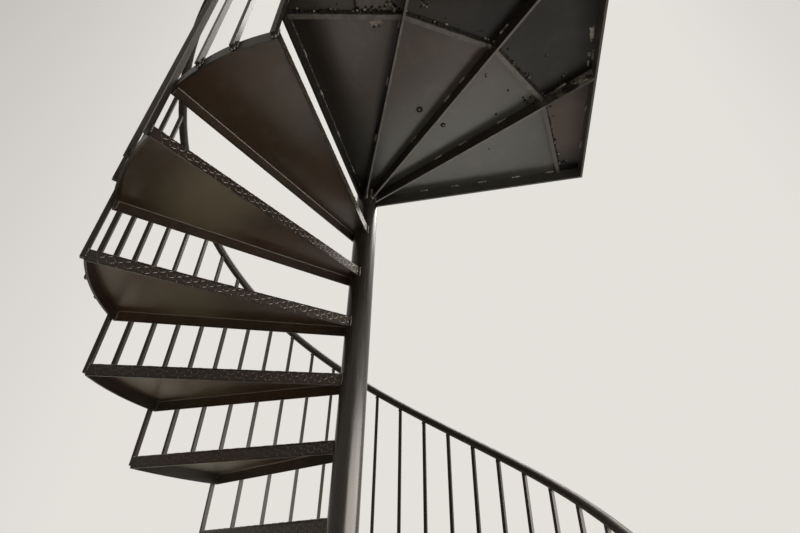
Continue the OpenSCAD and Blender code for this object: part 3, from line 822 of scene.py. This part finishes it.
# Lumps painted bright as glints stand at the tie bars' ends and on the top tread's back flange, and the east
# rib's end is scored.
for x, y, z, size in (
    (0.666, -0.305, landing_under - 0.014, 0.0050), (0.660, -0.313, landing_under - 0.015, 0.0040),
    (0.510, -0.527, landing_under - 0.013, 0.0050), (0.503, -0.532, landing_under - 0.015, 0.0040),
    (0.515, -0.520, landing_under - 0.010, 0.0040), (0.495, -0.431, landing_under - 0.003, 0.0042),
    (0.024, -0.170, 2.410, 0.0030), (0.025, -0.177, 2.416, 0.0034), (0.024, -0.184, 2.424, 0.0030),
    (0.025, -0.192, 2.413, 0.0028), (0.024, -0.199, 2.428, 0.0030), (0.025, -0.206, 2.421, 0.0024),
):
    lump(bead, x, y, z, size)
(x, y), heading = east_rib
along = Vector((cos(heading), sin(heading), 0))
side_face = Vector((x, y, 0)) + Vector((along.y, -along.x, 0)) * (flat / 2 + 0.0008)
for first, last, z in ((0.842, 0.872, 2.613), (0.836, 0.862, 2.603), (0.850, 0.874, 2.594)):
    ends = [side_face + along * part + Vector((0, 0, z)) for part in (first, last)]
    weld(bead, *ends, size=0.0023, pitch=0.0026)
# A thin line of pale beads along the corner of the west edge is a painted highlight.
ends = [(flat - margin + 0.001, y, landing_under - 0.001) for y in (-0.745, -0.060)]
weld(bead, *ends, size=0.0013, pitch=0.003)
# None of it comes through to the walking side: its buried tops are flat inside the plate.
for mesh in (slag, bead):
    for vert in mesh.verts:
        vert.co.z = min(vert.co.z, landing_under + 0.003)
piece("landing_seam_slag", slag, slag_crust)
piece("landing_seam_weld", bead, highlighted_weld_bead)

# Loose flakes of enamel have curled away beside the seam and at the end of the east rib,
# with their paler undercoat showing.
flake_paint, tree, shader, place = new_finish("curled_enamel_flake")
grain = add(tree, "TexNoise", {"Vector": place, "Scale": 120.0, "Detail": 3.0})
flake_tone = add(
    tree, "Mix", {"Factor": grain, "A": colour("#5A534B"), "B": colour("#C4BDB2")}, data_type="RGBA",
)
fill(shader, {"Base Color": flake_tone, "Roughness": 0.6})
mesh = bmesh.new()
for x, y, turn, length, width, drop in (
    (0.204, -0.653, -10, 0.018, 0.014, 0.005), (0.216, -0.656, 25, 0.020, 0.012, 0.007),
    (0.210, -0.648, -70, 0.012, 0.010, 0.004), (0.226, -0.652, 60, 0.012, 0.008, 0.006),
    (0.786, -0.345, -30, 0.030, 0.008, 0.006), (0.790, -0.497, 85, 0.030, 0.013, 0.004),
    (0.792, -0.478, 100, 0.014, 0.009, 0.004), (0.791, -0.432, 80, 0.012, 0.008, 0.003),
    (0.790, -0.405, 95, 0.014, 0.006, 0.003),
):
    sheet = bmesh.ops.create_grid(mesh, x_segments=6, y_segments=4, size=0.5)["verts"]
    # Each flake narrows and curls down towards its free end, and its edge is ragged.
    for vert in sheet:
        along = vert.co.x + 0.5
        vert.co.x *= length * (1 + 0.5 * vert.co.y * sin(9 * vert.co.y + turn))
        vert.co.y *= width * (1 - 0.55 * along ** 2) + hand.uniform(-0.002, 0.002)
        vert.co.z = -drop * along ** 2.2 - 0.003 * along * sin(300 * vert.co.y + turn)
    bmesh.ops.transform(
        mesh, verts=sheet,
        matrix=Matrix.Translation((x, y, landing_under)) @ Matrix.Rotation(radians(turn), 4, "Z"),
    )
bmesh.ops.solidify(mesh, geom=mesh.faces[:], thickness=0.0005)
bmesh.ops.recalc_face_normals(mesh, faces=mesh.faces[:])
piece("landing_enamel_flakes", mesh, flake_paint)

# The floor is plain and pale, and the studio round it is pale grey, lighter to the north.
# One wide soft light hangs high to the north-east, and three low ones show as reflections.
floor_mesh = bmesh.new()
bmesh.ops.create_grid(floor_mesh, x_segments=1, y_segments=1, size=14)
floor_data = bpy.data.meshes.new("floor")
floor_mesh.to_mesh(floor_data)
floor_mesh.free()
floor = bpy.data.objects.new("floor", floor_data)
bpy.context.collection.objects.link(floor)
floor_paint = bpy.data.materials.new("pale_plain_floor")
floor_paint.use_nodes = True
fill(
    floor_paint.node_tree.nodes["Principled BSDF"],
    {"Base Color": colour("#D4D0C9"), "Roughness": 1.0, "Specular IOR Level": 0.0},
)
floor_data.materials.append(floor_paint)

world = bpy.data.worlds.new("pale_studio")
bpy.context.scene.world = world
world.use_nodes = True
studio = world.node_tree
studio.nodes.clear()
ray = add(studio, "LightPath")
seen = add(
    studio, "Math", {0: ray.outputs["Is Camera Ray"], 1: ray.outputs["Is Glossy Ray"]}, operation="MAXIMUM",
)
seen_all = add(studio, "Math", {0: seen, 1: ray.outputs["Is Transmission Ray"]}, operation="MAXIMUM")
way = add(studio, "TexCoord")
level_way = add(studio, "VectorMath", {0: way.outputs["Generated"], 1: (1, 1, 0)}, operation="MULTIPLY")
heading = add(studio, "VectorMath", {0: level_way}, operation="NORMALIZE")
north = add(studio, "VectorMath", {0: heading, 1: (-0.09, 0.996, 0)}, operation="DOT_PRODUCT")
level = add(
    studio, "MapRange", {"Value": north, "From Min": -0.3, "From Max": 0.9, "To Min": 0.06, "To Max": 0.26},
)
ambient = add(studio, "Background", {"Color": colour("#E2E1E0"), "Strength": level})
paleness = add(
    studio, "MapRange", {"Value": north, "From Min": 0.1, "From Max": 0.75, "To Min": 0.55, "To Max": 1.0},
)
backdrop = add(studio, "Background", {"Color": colour("#E4E1DB"), "Strength": paleness})
both = add(studio, "MixShader", {0: seen_all, 1: ambient, 2: backdrop})
add(studio, "OutputWorld", {"Surface": both})


def lamp(name, place, aim, size, power, tint, reflected_only=False):
    """A soft rectangular light of size (x, y), in watts; one may show only in reflections."""
    light = bpy.data.lights.new(name, "AREA")
    light.shape = "RECTANGLE"
    light.size, light.size_y = size
    light.energy = power
    light.color = colour(tint)[:3]
    thing = bpy.data.objects.new(name, light)
    bpy.context.collection.objects.link(thing)
    thing.location = place
    thing.rotation_euler = (Vector(aim) - Vector(place)).to_track_quat("-Z", "Y").to_euler()
    thing.visible_camera = False
    thing.visible_diffuse = not reflected_only


lamp("overhead_light", (2.9, 2.9, 9.5), (0, 0, 1.0), (6.0, 6.0), 1140, "#FFFBF4")
lamp("east_panel", (2.7, -1.25, 1.32), (0, -1.25, 1.32), (5.6, 2.54), 360, "#FFF9F0", True)
lamp("north_west_panel", (-1.95, 1.25, 0.3), (-0.4, -0.1, 0.9), (1.1, 0.6), 8, "#FAF2D4", True)
lamp("floor_glow", (0.05, 1.4, 0.02), (0.05, 1.4, 2.0), (1.8, 2.0), 76, "#F6F1EB", True)

bpy.context.scene.view_settings.view_transform = "Standard"
